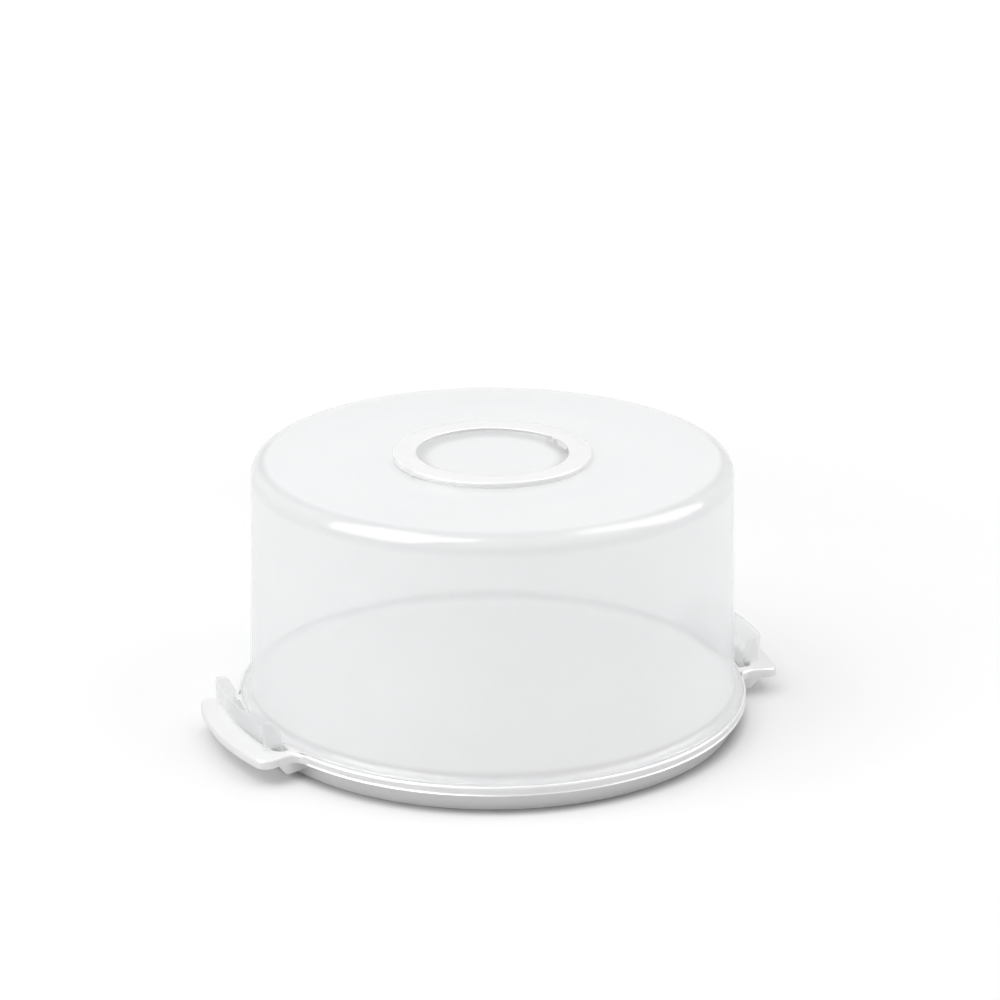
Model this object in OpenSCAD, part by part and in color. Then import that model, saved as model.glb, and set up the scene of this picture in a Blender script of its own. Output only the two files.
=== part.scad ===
// Round cake carrier: a white tray with two side handles, a frosted lift-off dome with two lifting
// tabs, and a ring handle on top that folds up as two half rings.
// Millimetres, +Z up. The origin is the centre of the foot's footprint, X runs through the side handles.

/* [Tray] */
// Outer diameter of the tray's rim
rim_d = 312; // [306:1:320]
// Height of the rim's top edge
rim_top = 17.1; // [16.5:0.1:18]
// Height of the rim's lower edge
rim_under = 11.3; // [10.8:0.1:12]
// Outer diameter of the foot ring
foot_d = 298.4; // [296.5:0.1:299]
// Wall thickness of the tray
tray_wall = 2.2; // [2:0.1:2.4]

/* [Side handles] */
// Distance over both side handles
handles_l = 360; // [354:1:366]
// Angle from the handle's centre line to its side
handle_half_angle = 17.5; // [17.2:0.1:18]
// Width of the slot between the rim and the handle's grip bar
slot_w = 8.6; // [8.2:0.1:9]

/* [Dome] */
// Height of the dome's top
dome_top = 165.4; // [150:0.1:185]
// Outer diameter of the dome at its shoulder
shoulder_d = 290.6; // [286:0.1:292]
// Outer diameter of the dome just above its flange
skirt_d = 297.6; // [296:0.1:298]
// Radius of the rounded shoulder
shoulder_r = 10; // [8:0.5:16]
// Wall thickness of the dome
dome_wall = 2; // [1.6:0.1:2.2]

/* [Lifting tabs] */
// How far the tab's lip stands above the tray's rim
tab_rise = 18.4; // [16:0.2:22]
// Radius of the tab's lip, from the dome's axis
tab_r = 171.5; // [170:0.1:173]
// Width of the tab along the rim
tab_w = 79.6; // [76:0.2:81]
// Wall thickness of the tab
tab_t = 1.8; // [1.6:0.1:2]

/* [Ring handle] */
// Outer diameter of the folded ring
ring_d = 120; // [118:0.5:122]
// Inner diameter of the folded ring
ring_inner_d = 92; // [90:0.5:94]
// Thickness of the ring at its outer edge
ring_t = 3.6; // [3.4:0.1:4]
// Width of each hinge block, across the hinge pins
block_w = 22; // [21.5:0.1:23]
// Diameter of the hinge pins moulded on the half rings
pin_d = 1.9; // [1.7:0.1:2]

/* [Hidden] */
$fn = 160;

white = [0.94, 0.94, 0.94];
frosted = [0.86, 0.88, 0.89, 0.55];

// Clearances between pieces that part or turn
body_gap = 0.3;
pin_gap = 0.05;
// Overshoot of every cutter past the face that it opens
cut = 1;

// Tray levels and radii
rim_r = rim_d / 2;
foot_r = foot_d / 2;
lip_t = 2.5;
lip_round = 1.2;
lip_inner_r = rim_r - lip_t;
groove_z = rim_top - 1.4;
groove_inner_r = 145.5;
floor_z = groove_z - 2.3;
floor_r = groove_inner_r - 3;
rib_t = 1.6;
rib_depth = 6;
rib_count = 12;
hub_r = 20;
mid_ring_r = 85;

// Side handles
handle_r = handles_l / 2;
handle_arc_angle = 15.2;
handle_corner_r = 7;
handle_root_r = 9;
handle_tuck_angle = 22;
handle_round = 2;
handle_top_t = 2.4;
grip_angle = 14.4;
slot_r = rim_r + slot_w;
slot_corner_r = 6;
slot_arc_angle = 14.3;
slot_end_angle = 16.8;
gusset_angle = 17.25;
gusset_t = 1.8;
gusset_z = 4.4;
gusset_foot_r = rim_r + 6.7;
gusset_out_r = rim_r + 13;

// Dome radii and levels
shoulder_x = shoulder_d / 2;
skirt_x = skirt_d / 2;
flange_r = lip_inner_r - body_gap;
flange_z = groove_z + body_gap;
flange_top = flange_z + 2.6;
flare_r = 3.4;
dish_z = dome_top - 1.3;
dish_r = 62.5;
dish_flat_r = 100;
hump_r = 54;
hump_foot_r = hump_r + 2;

// Lifting tab, a scoop with a floor, a curved outer wall and two end walls
tab_floor_z = rim_top + 2;
tab_top = rim_top + tab_rise;
tab_corner_r = 7;
tab_curl = 8;
tab_lean = 1.3;
tab_end_curl = 4;
tab_half_w = tab_w / 2;
tab_half_angle = 18;
tab_in_r = rim_r - 9;
tab_slit_r = foot_r + 7.3;
tab_root_angle = 6;
root_inset = 0.5;
leg_r = rim_r + 2.4;
leg_t = 1.6;
leg_angle = 14.7;
leg_end_z = 7.4;
bead_t = 1.4;

// Ring handle
ring_r = ring_d / 2;
ring_inner_r = ring_inner_d / 2;
ring_top = dish_z + ring_t;
plate_t = 1.9;
lip_w = 2.4;
hump_top = ring_top - plate_t - body_gap;
recess_r = 37.5;
recess_z = dish_z - 0.2;
knuckle_r = 1.6;
axis_z = ring_top - knuckle_r;
axis_y = block_w / 2 - knuckle_r - 0.2;
block_in = 44.4;
block_out = 58.4;
block_l = block_out - block_in;
cheek_t = 1.8;
shoulder_y = axis_y + knuckle_r + 1.2;
ring_end_t = 1.8;
end_room = 2.6;
pad_margin = 2.4;
base_t = 1.2;
pocket_z = dish_z - base_t - body_gap;
pad_under = pocket_z - 1.8;
stud_r = 2.4;
stud_y = 4.2;
stud_x = (block_in + block_out) / 2;
rivet_r = 3.6;
rivet_t = 1.1;
rivet_taper = 0.8;
// Overlap of two forms that are moulded in one
weld = 0.2;

// Points of an arc, from angle a0 to a1 in n steps
function arc(cx, cy, r, a0, a1, n = 8) =
    [for (i = [0:n]) let (a = a0 + (a1 - a0) * i / n) [cx + r * cos(a), cy + r * sin(a)]];
function polar(r, a) = [r * cos(a), r * sin(a)];
function flip_y(points) = [for (i = [len(points) - 1:-1:0]) [points[i][0], -points[i][1]]];
// Smooth step between two radii, used where one level of the dome's top blends into another
function blend(r0, z0, r1, z1, n = 6) =
    [for (i = [1:n]) let (t = i / n) [r0 + (r1 - r0) * t, z0 + (z1 - z0) * (1 - cos(180 * t)) / 2]];

// Wedge of a solid of revolution, centred on +X
module sector(half_angle) {
    rotate([0, 0, -half_angle])
        rotate_extrude(angle = 2 * half_angle)
            children();
}

// The same thing at both ends of the X axis
module both_sides() {
    for (a = [0, 180])
        rotate([0, 0, a])
            children();
}

// Tray

module tray_section() {
    inner_skirt = foot_r - tray_wall;
    under = groove_z - tray_wall;
    polygon(concat(
        [[0, floor_z - tray_wall], [inner_skirt, floor_z - tray_wall], [inner_skirt, 0.6]],
        [[inner_skirt + 0.6, 0], [foot_r - 0.6, 0], [foot_r, 0.6], [foot_r, under]],
        [[lip_inner_r + 0.3, under], [lip_inner_r + 0.3, rim_under + 0.4]],
        [[lip_inner_r + 0.7, rim_under], [rim_r - 0.4, rim_under], [rim_r, rim_under + 0.4]],
        arc(rim_r - lip_round, rim_top - lip_round, lip_round, 0, 90, 6),
        [[lip_inner_r + 0.4, rim_top], [lip_inner_r, rim_top - 0.4], [lip_inner_r, groove_z]],
        [[groove_inner_r, groove_z], [floor_r, floor_z], [0, floor_z]]
    ));
}

function handle_half_outline() = concat(
    [for (i = [0:12]) polar(handle_r, handle_arc_angle * i / 12)],
    let (r = handle_r - handle_corner_r)
        arc(r * cos(handle_arc_angle), r * sin(handle_arc_angle),
            handle_corner_r, handle_arc_angle + 5, handle_half_angle + 90, 8),
    let (c = handle_half_angle + asin(handle_root_r / (rim_r + handle_root_r)))
        arc((rim_r + handle_root_r) * cos(c), (rim_r + handle_root_r) * sin(c),
            handle_root_r, handle_half_angle + 270, c + 180, 8),
    [polar(rim_r - lip_t / 2, handle_tuck_angle)]
);

module handle_outline() {
    half = handle_half_outline();
    polygon(concat(flip_y(half), half));
}

function slot_half_outline() = concat(
    [for (i = [0:12]) polar(slot_r, slot_arc_angle * i / 12)],
    let (r = slot_r - slot_corner_r)
        arc(r * cos(slot_arc_angle), r * sin(slot_arc_angle),
            slot_corner_r, slot_arc_angle + 10, slot_arc_angle + 95, 8),
    [for (i = [9:-1:0]) polar(rim_r, slot_end_angle * i / 9)]
);

module slot_outline() {
    half = slot_half_outline();
    polygon(concat(flip_y(half), half));
}

module handle() {
    difference() {
        intersection() {
            translate([0, 0, rim_under])
                linear_extrude(rim_top - rim_under)
                    handle_outline();
            rotate_extrude()
                polygon(concat(
                    [[lip_inner_r + 1, rim_under], [handle_r - 0.8, rim_under]],
                    [[handle_r, rim_under + 0.8]],
                    arc(handle_r - handle_round, rim_top - handle_round, handle_round, 0, 90, 6),
                    [[lip_inner_r + 1, rim_top]]
                ));
        }
        // Through slot for the tab's leg
        translate([0, 0, rim_under - cut])
            linear_extrude(rim_top - rim_under + 2 * cut)
                slot_outline();
        // The grip bar is hollow from below
        sector(grip_angle)
            translate([slot_r + tray_wall, rim_under - cut])
                square([handle_r - slot_r - 2.2 * tray_wall, rim_top - rim_under - handle_top_t + cut]);
    }
}

// Upright web under the handle's root, from the foot out to the grip bar
module gusset(angle) {
    rotate([0, 0, angle])
        rotate([90, 0, 0])
            translate([0, 0, -gusset_t / 2])
                linear_extrude(gusset_t)
                    polygon([[foot_r - root_inset, gusset_z], [gusset_foot_r, gusset_z],
                        [gusset_out_r, rim_under + 0.3], [gusset_out_r, rim_top - 2],
                        [foot_r - root_inset, rim_top - 2]]);
}

module tray_ribs() {
    top = floor_z - tray_wall / 2;
    for (i = [0:rib_count - 1])
        rotate([0, 0, (i + 0.5) * 360 / rib_count])
            translate([hub_r, -rib_t / 2, floor_z - tray_wall - rib_depth])
                cube([foot_r - tray_wall / 2 - hub_r, rib_t, rib_depth + tray_wall / 2]);
    for (r = [hub_r, mid_ring_r])
        rotate_extrude()
            translate([r, floor_z - tray_wall - rib_depth])
                square([rib_t, top - floor_z + tray_wall + rib_depth]);
}

module base_tray() {
    color(white) {
        rotate_extrude()
            tray_section();
        both_sides() {
            handle();
            gusset(gusset_angle);
            gusset(-gusset_angle);
        }
        tray_ribs();
    }
}

// Dome

// Outer face of the dome from the middle of its top to its flange
function dome_outer() = concat(
    [[0, recess_z], [recess_r, recess_z]],
    blend(recess_r, recess_z, ring_inner_r - 0.8, hump_top),
    [[hump_r, hump_top], [hump_foot_r, dish_z], [dish_r, dish_z]],
    blend(dish_r, dish_z, dish_flat_r, dome_top),
    arc(shoulder_x - shoulder_r, dome_top - shoulder_r, shoulder_r, 90, 1.5, 14),
    [[skirt_x, flange_top + flare_r + 0.4]],
    arc(skirt_x + flare_r, flange_top + flare_r, flare_r, 180, 270, 8),
    [[flange_r - 0.4, flange_top - 0.1], [flange_r, flange_top - 0.6], [flange_r, flange_z]]
);

function dome_inner() = concat(
    [[skirt_x - dome_wall, flange_z]],
    arc(shoulder_x - shoulder_r, dome_top - shoulder_r, shoulder_r - dome_wall, 1.5, 90, 12),
    [[dish_flat_r, dome_top - dome_wall], [dish_r, dish_z - dome_wall]],
    [[hump_foot_r + 0.6, dish_z - dome_wall], [hump_r + 0.6, hump_top - dome_wall]],
    [[ring_inner_r - 0.4, hump_top - dome_wall]],
    [[recess_r, recess_z - dome_wall], [0, recess_z - dome_wall]]
);

// Plan of the scoop: an arc along the rim, rounded corners and straight ends
function tab_plan(inset) =
    let (r = tab_r - inset, h = tab_half_w - inset, c = tab_corner_r - inset)
    let (a = asin((h - c) / (r - c)))
        concat(
            [for (i = [-9:9]) polar(r, a * i / 10)],
            arc((r - c) * cos(a), (r - c) * sin(a), c, a, 90, 8),
            [[tab_in_r + 2.5, h], [tab_in_r + 2.5, -h]],
            arc((r - c) * cos(a), -(r - c) * sin(a), c, -90, -a, 8)
        );

// Radial section of the scoop, filled: a flat floor that curls up into a wall with a slight outward lean
function tab_side(inset, base, top) =
    let (curl = tab_curl - inset, r = tab_r - inset)
        concat(
            [[tab_in_r, base]],
            [for (i = [0:7]) let (t = 90 * i / 7)
                [r - tab_lean - curl * (1 - sin(t)), base + curl * (1 - cos(t))]],
            [[r, tab_top - 1], [r + 0.1, top], [tab_in_r, top]]
        );

// The scoop seen from outside, filled: round lower corners
function tab_front(inset, base, top) =
    let (curl = tab_end_curl - inset, h = tab_half_w - inset)
        concat(
            arc(h - curl, base + curl, curl, -90, 0, 5),
            [[h, top], [-h, top]],
            arc(curl - h, base + curl, curl, 180, 270, 5)
        );

// Space over the end walls' sloping edge, as x and height, from the dome out to the lip
function tab_slope() =
    let (floor_top = tab_floor_z + tab_t + 0.1)
        [[tab_in_r, floor_top], [rim_r - 1.8, floor_top], [rim_r - 1.6, floor_top + 3],
            [rim_r - 0.4, floor_top + 6.5], [rim_r + 1.6, floor_top + 10.3], [rim_r + 5, tab_top - 1.9],
            [rim_r + 8.5, tab_top - 0.7], [rim_r + 12, tab_top - 0.1], [rim_r + 12, tab_top + cut],
            [tab_in_r, tab_top + cut]];

// Solid scoop, drawn in by inset from every face: where plan, side view and front view meet
module scoop(inset, base, top) {
    intersection() {
        translate([0, 0, base])
            linear_extrude(top - base)
                polygon(tab_plan(inset));
        sector(tab_half_angle)
            polygon(tab_side(inset, base - cut / 2, top + cut));
        rotate([90, 0, 90])
            linear_extrude(tab_r + cut)
                polygon(tab_front(inset, base - cut / 4, top + cut));
    }
}

module lifting_tab() {
    difference() {
        scoop(0, tab_floor_z, tab_top);
        scoop(tab_t, tab_floor_z + tab_t, tab_top + 2 * cut);
        // The end walls fall away towards the dome
        translate([0, tab_half_w + cut, 0])
            rotate([90, 0, 0])
                linear_extrude(tab_w + 2 * cut)
                    polygon(tab_slope());
        // Slits beside the root let the tab bend
        for (side = [-1, 1])
            rotate([0, 0, side * 2 * tab_root_angle])
                sector(tab_root_angle)
                    translate([skirt_x - 1, tab_floor_z - cut])
                        square([tab_slit_r - skirt_x + 1, tab_t + 2 * cut]);
    }
    // Root that joins the scoop's floor to the flange
    root_z = flange_z + root_inset;
    sector(tab_root_angle - 0.3)
        translate([skirt_x - 1, root_z])
            square([flange_r - root_inset - skirt_x + 1, tab_floor_z + tab_t - 0.3 - root_z]);
    // Leg that drops through the handle's slot, with a rounded foot and a snap bead
    sector(leg_angle)
        polygon([[leg_r, tab_floor_z + 0.6], [leg_r, leg_end_z + 2.6], [leg_r - bead_t, leg_end_z + 1.4],
            [leg_r - bead_t, leg_end_z + 0.7], [leg_r - 0.4, leg_end_z], [leg_r + leg_t - 0.6, leg_end_z],
            [leg_r + leg_t, leg_end_z + 0.6], [leg_r + leg_t, tab_floor_z + 0.6]]);
}

module dome_cover() {
    color(frosted)
        difference() {
            union() {
                rotate_extrude()
                    polygon(concat(dome_outer(), dome_inner()));
                both_sides() {
                    lifting_tab();
                    // Pad under each hinge block
                    translate([block_in - pad_margin, -block_w / 2 - pad_margin, pad_under])
                        cube([block_l + 2 * pad_margin, block_w + 2 * pad_margin, dish_z - 0.4 - pad_under]);
                }
            }
            both_sides() {
                // Room for the ends of the half rings
                translate([block_in - ring_end_t, -shoulder_y - end_room, dish_z - weld])
                    cube([block_l + ring_end_t, 2 * (shoulder_y + end_room), ring_t]);
                // Pocket for the block's base
                translate([block_in - body_gap, -block_w / 2 - body_gap, pocket_z])
                    cube([block_l + 2 * body_gap, block_w + 2 * body_gap, ring_t + base_t + cut]);
                for (side = [-1, 1])
                    translate([stud_x, side * stud_y, pad_under - cut])
                        cylinder(r = stud_r + pin_gap, h = pocket_z - pad_under + 2 * cut, $fn = 48);
            }
        }
}

// Ring handle

// Block that carries both half rings at one end: a base, two cheeks with pin holes and a bridge
module hinge_block() {
    color(white)
        difference() {
            union() {
                translate([block_in, -block_w / 2, pocket_z])
                    cube([block_l, block_w, base_t]);
                for (x = [block_in, block_out - cheek_t])
                    translate([x, -block_w / 2, pocket_z])
                        cube([cheek_t, block_w, ring_top - pocket_z]);
                translate([block_in, -axis_y + knuckle_r + body_gap, pocket_z])
                    cube([block_l, 2 * (axis_y - knuckle_r - body_gap), ring_top - pocket_z]);
                for (side = [-1, 1]) {
                    translate([stud_x, side * stud_y, pad_under - rivet_t])
                        cylinder(r = stud_r, h = pocket_z - pad_under + rivet_t, $fn = 48);
                    translate([stud_x, side * stud_y, pad_under - rivet_t])
                        cylinder(r1 = rivet_r - rivet_taper, r2 = rivet_r, h = rivet_t, $fn = 48);
                }
            }
            for (side = [-1, 1])
                translate([block_in - cut, side * axis_y, axis_z])
                    rotate([0, 90, 0])
                        cylinder(d = pin_d + 2 * pin_gap, h = block_l + 2 * cut, $fn = 48);
        }
}

module left_hinge_block() {
    rotate([0, 0, 180])
        hinge_block();
}

module right_hinge_block() {
    hinge_block();
}

// Section of a half ring: a thin plate with a deeper lip along its outer edge
module ring_section() {
    low = dish_z + body_gap;
    polygon([
        [ring_inner_r, ring_top - plate_t], [ring_r - lip_w, ring_top - plate_t], [ring_r - lip_w, low],
        [ring_r - 0.4, low], [ring_r, low + 0.4], [ring_r, ring_top - 0.6], [ring_r - 0.6, ring_top],
        [ring_inner_r + 0.5, ring_top], [ring_inner_r, ring_top - 0.5]
    ]);
}

// Half ring on the -Y side, with a knuckle and moulded pins at both ends
module half_ring() {
    neck_in = block_in + cheek_t + body_gap;
    neck_out = block_out - cheek_t - body_gap;
    neck_l = neck_out - neck_in;
    // The pins stop just short of the cheeks' outer faces
    pin_l = cheek_t - 0.2;
    color(white) {
        difference() {
            rotate_extrude()
                ring_section();
            translate([-ring_r - cut, -shoulder_y, dish_z])
                cube([2 * (ring_r + cut), ring_r + shoulder_y + cut, ring_t + cut]);
        }
        intersection() {
            difference() {
                translate([0, 0, dish_z + body_gap])
                    cylinder(r = ring_r - weld, h = ring_t - body_gap);
                translate([0, 0, dish_z])
                    cylinder(r = ring_inner_r + weld, h = ring_t + cut);
            }
            translate([-ring_r, -shoulder_y - ring_end_t, dish_z])
                cube([2 * ring_r, ring_end_t, ring_t]);
        }
        for (side = [-1, 1]) {
            mirror([side < 0 ? 1 : 0, 0, 0]) {
                translate([neck_in, -shoulder_y - weld, axis_z - knuckle_r])
                    cube([neck_l, shoulder_y - axis_y + weld, 2 * knuckle_r]);
                translate([neck_in, -axis_y, axis_z])
                    rotate([0, 90, 0])
                        cylinder(r = knuckle_r, h = neck_l, $fn = 64);
                translate([neck_in - body_gap - pin_l, -axis_y, axis_z])
                    rotate([0, 90, 0])
                        cylinder(d = pin_d, h = neck_l + 2 * (body_gap + pin_l), $fn = 48);
            }
        }
    }
}

module front_half_ring() {
    half_ring();
}

module rear_half_ring() {
    rotate([0, 0, 180])
        half_ring();
}

base_tray();
dome_cover();
left_hinge_block();
right_hinge_block();
front_half_ring();
rear_half_ring();
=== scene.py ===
"""Dresses the round cake carrier for rendering: satin white tray, frosted dome with two lifting tabs, ring handle.

The sub-assemblies' dimensions are in millimetres and their meshes in metres. Every piece stands in the CAD model's
own frame: +Z up, X through the side handles.
"""
import logging
import math
from dataclasses import dataclass
from enum import Enum

import bmesh
import bpy
import numpy as np
from mathutils import Matrix, Vector


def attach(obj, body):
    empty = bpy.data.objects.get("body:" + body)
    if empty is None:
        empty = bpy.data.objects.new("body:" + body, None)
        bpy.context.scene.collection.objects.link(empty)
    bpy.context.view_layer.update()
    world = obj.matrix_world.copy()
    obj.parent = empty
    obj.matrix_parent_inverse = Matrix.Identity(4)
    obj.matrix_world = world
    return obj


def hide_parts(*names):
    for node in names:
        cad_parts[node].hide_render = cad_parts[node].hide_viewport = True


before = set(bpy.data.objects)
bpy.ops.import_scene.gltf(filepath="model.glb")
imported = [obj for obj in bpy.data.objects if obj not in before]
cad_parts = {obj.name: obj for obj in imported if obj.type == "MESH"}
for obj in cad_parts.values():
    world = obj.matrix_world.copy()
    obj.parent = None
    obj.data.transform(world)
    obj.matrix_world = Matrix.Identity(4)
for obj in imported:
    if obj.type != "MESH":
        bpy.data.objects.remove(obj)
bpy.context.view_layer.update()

LOG = logging.getLogger("cake_carrier")
MM = 0.001
FINE_WELD = 0.000002
SHARP_ANGLE = 40.0
PLASTIC_IOR = 1.49
BLOCK_X = 51.4
FLAT_END = 99.0
MIRROR_Y = np.array([1.0, -1.0])
FROST = (0.93, 0.935, 0.94)
LAMP_TARGET = Vector((0.0, 0.0, 0.13))
LAMP_DISTANCE = 1.6
CAMERA_PLACE = (-0.75472, -1.61850, 0.75767)
CAMERA_PITCH, CAMERA_YAW = 19.18, 25.0
FOCAL_PX, PHOTO_PX, SENSOR = 3127.69, 1000.0, 36.0


class Body(str, Enum):
    """Bodies of the CAD model that a piece can ride on."""

    TRAY = "tray"
    DOME = "dome"
    FRONT_RING = "front_ring"
    REAR_RING = "rear_ring"


class Slot(str, Enum):
    """Material slots of the record."""

    TRAY = "tray_white"
    DOME = "dome_frosted"
    RING = "ring_white"


# Shader building


class Sock:
    """A shader value that takes part in Python expressions and adds its Math nodes."""

    def __init__(self, graph: "ShaderGraph", socket: bpy.types.NodeSocket | None) -> None:
        """Keeps the graph and the output socket."""
        self.graph = graph
        self.socket = socket

    def _math(self, operation: str, first: "Sock | float", second: "Sock | float") -> "Sock":
        """Adds one Math node.

        Args:
            operation: Name of the Math node's operation.
            first: First operand.
            second: Second operand.

        Returns:
            The node's output.
        """
        return self.graph.add("ShaderNodeMath", {"operation": operation}, {0: first, 1: second})

    def __add__(self, other: "Sock | float") -> "Sock":
        """Sum."""
        return self._math("ADD", self, other)

    def __sub__(self, other: "Sock | float") -> "Sock":
        """Difference."""
        return self._math("SUBTRACT", self, other)

    def __mul__(self, other: "Sock | float") -> "Sock":
        """Product."""
        return self._math("MULTIPLY", self, other)

    __radd__ = __add__
    __rmul__ = __mul__

    def __abs__(self) -> "Sock":
        """Size without the sign."""
        return self._math("ABSOLUTE", self, 0.0)


def rgba(colour: tuple[float, float, float], factor: float = 1.0) -> tuple[float, ...]:
    """The colour times a factor, with full alpha."""
    return tuple(factor * c for c in colour) + (1.0,)


class ShaderGraph:
    """Node tree of one material or world, built by adding nodes one at a time."""

    def __init__(self, owner: bpy.types.Material | bpy.types.World) -> None:
        """Empties the owner's tree.

        Args:
            owner: New material or world.
        """
        self.owner = owner
        owner.use_nodes = True
        self.tree = owner.node_tree
        self.tree.nodes.clear()

    def add(
        self,
        kind: str,
        settings: dict[str, object] | None = None,
        inputs: dict[int | str, object] | None = None,
        output: int | str = 0,
    ) -> Sock:
        """Adds a node, sets its options and fills its inputs.

        Args:
            kind: Blender's type name of the node.
            settings: Options of the node, set before its inputs.
            inputs: Values or links by input name or number.
            output: Output to hand back.

        Returns:
            The chosen output, ready for expressions.
        """
        node = self.tree.nodes.new(kind)
        for key, value in (settings or {}).items():
            setattr(node, key, value)
        for key, value in (inputs or {}).items():
            if isinstance(value, Sock):
                self.tree.links.new(value.socket, node.inputs[key])
            else:
                node.inputs[key].default_value = value
        return Sock(self, node.outputs[output] if len(node.outputs) else None)

    def noise(self, where: Sock, scale: float, detail: float = 2.0, roughness: float = 0.5) -> Sock:
        """Noise between 0 and 1 at a given scale in cycles a metre."""
        return self.add(
            "ShaderNodeTexNoise",
            {"noise_dimensions": "3D"},
            {"Vector": where, "Scale": scale, "Detail": detail, "Roughness": roughness},
        )

    def mix(self, share: Sock, low: "Sock | tuple[float, ...]", high: "Sock | tuple[float, ...]") -> Sock:
        """Colour that is low at share 0 and high at share 1."""
        return self.add("ShaderNodeMix", {"data_type": "RGBA"}, {0: share, 6: low, 7: high}, output=2)

    def blend(self, share: Sock | float, first: Sock, second: Sock) -> Sock:
        """Surface that is first at share 0 and second at share 1."""
        return self.add("ShaderNodeMixShader", None, {0: share, 1: first, 2: second})

    def ramp(self, value: Sock, low: float, high: float, start: float = 0.0, end: float = 1.0) -> Sock:
        """Soft step that is start where the value is low and end where it is high."""
        settings = {"interpolation_type": "SMOOTHSTEP"}
        return self.add("ShaderNodeMapRange", settings, {0: value, 1: low, 2: high, 3: start, 4: end})

    def length(self, vector: Sock) -> Sock:
        """Length of a vector."""
        return self.add("ShaderNodeVectorMath", {"operation": "LENGTH"}, {0: vector}, output="Value")

    def finish(self, surface: Sock) -> bpy.types.Material | bpy.types.World:
        """Links the surface to the tree's output and returns the owner."""
        kind = "World" if isinstance(self.owner, bpy.types.World) else "Material"
        self.add(f"ShaderNodeOutput{kind}", None, {"Surface": surface})
        return self.owner


@dataclass(frozen=True)
class SatinPlastic:
    """Injection-moulded opaque plastic with a fine satin skin."""

    name: str
    colour: tuple[float, float, float]
    roughness: float
    dark_tone: float = 0.972
    coat: float = 0.12
    coat_roughness: float = 0.12
    grain_scale: float = 2600.0
    grain_height: float = 0.000006
    flow_scale: float = 22.0

    def build(self) -> bpy.types.Material:
        """Makes the material.

        Returns:
            A material whose tone and gloss drift a little over the moulding and whose skin has a fine grain.
        """
        graph = ShaderGraph(bpy.data.materials.new(self.name))
        where = graph.add("ShaderNodeTexCoord", output="Object")
        flow = graph.noise(where, self.flow_scale, 3.0)
        grain = graph.noise(where, self.grain_scale, 2.0, 0.6)
        tone = graph.mix(flow, rgba(self.colour, self.dark_tone), rgba(self.colour))
        bump = graph.add("ShaderNodeBump", None, {"Strength": 0.35, "Distance": self.grain_height, "Height": grain})
        surface = graph.add(
            "ShaderNodeBsdfPrincipled",
            None,
            {
                "Base Color": tone,
                "Roughness": self.roughness + 0.1 * (flow - 0.5),
                "Normal": bump,
                "IOR": PLASTIC_IOR,
                "Coat Weight": self.coat,
                "Coat Roughness": self.coat_roughness,
            },
        )
        return graph.finish(surface)


class PaintedShadeBand(Enum):
    """What a band of painted shade follows: the height over the floor, or the radius on top of the dome."""

    HEIGHT = "height"
    RADIUS = "radius"


@dataclass(frozen=True)
class FrostedPlastic:
    """Thin translucent plastic: what stands behind it shows as a pale shade, and its outside is glossy.

    A painted-shade band is (what it follows, its middle in mm, its half width in mm, its depth): a darker tone painted
    where shade falls. Scatter is the translucent share, and shadow_loss is how much of the shadow is left out.
    """

    name: str
    colour: tuple[float, float, float]
    opacity: float
    roughness: float
    dark_tone: float = 0.985
    painted_shade_tone: float = 0.55
    scatter: float = 0.45
    shadow_loss: float = 0.55
    cloud_scale: float = 9.0
    ripple_scale: float = 260.0
    lid_z: tuple[float, float] = (0.15, 0.16)
    painted_shade_bands: tuple[tuple[PaintedShadeBand, float, float, float], ...] = ()

    def build(self) -> bpy.types.Material:
        """Makes the material.

        Returns:
            A glossy surface with drifting opacity, mixed with a translucent one. A painted-shade band's darkness is
            depth times a soft step of the distance from its middle, and radius bands fade out below lid_z.
        """
        graph = ShaderGraph(bpy.data.materials.new(self.name))
        where = graph.add("ShaderNodeTexCoord", output="Object")
        cloud = graph.noise(where, self.cloud_scale, 2.0)
        ripple = graph.noise(where, self.ripple_scale, 1.0)
        bump = graph.add("ShaderNodeBump", None, {"Strength": 0.12, "Distance": 0.00001, "Height": ripple})
        tone = graph.mix(cloud, rgba(self.colour, self.dark_tone), rgba(self.colour))
        height = graph.add("ShaderNodeSeparateXYZ", None, {0: where}, output=2)
        flat = graph.add("ShaderNodeVectorMath", {"operation": "MULTIPLY"}, {0: where, 1: (1.0, 1.0, 0.0)})
        radius = graph.length(flat)
        on_lid = graph.add("ShaderNodeMapRange", None, {0: height, 1: self.lid_z[0], 2: self.lid_z[1]})
        # Painted shade: each band darkens the tone where shade falls on the hood.
        for axis, middle, spread, depth in self.painted_shade_bands:
            gap = abs((height if axis is PaintedShadeBand.HEIGHT else radius) - middle * MM)
            amount = graph.ramp(gap, 0.0, spread * MM, depth, 0.0)
            if axis is PaintedShadeBand.RADIUS:
                amount = amount * on_lid
            tone = graph.mix(amount, tone, rgba(self.colour, self.painted_shade_tone))
        surface = graph.add(
            "ShaderNodeBsdfPrincipled",
            None,
            {
                "Base Color": tone,
                "Roughness": self.roughness + 0.04 * (cloud - 0.5),
                "Alpha": self.opacity + 0.03 * (cloud - 0.5),
                "Normal": bump,
                "IOR": PLASTIC_IOR,
            },
        )
        glow = graph.add("ShaderNodeBsdfTranslucent", None, {"Color": tone})
        clear = graph.add("ShaderNodeBsdfTransparent")
        both = graph.blend(self.scatter, surface, graph.blend(self.opacity, clear, glow))
        shadow_ray = graph.add("ShaderNodeLightPath", output="Is Shadow Ray")
        return graph.finish(graph.blend(shadow_ray * self.shadow_loss, both, clear))


# Mesh building


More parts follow.
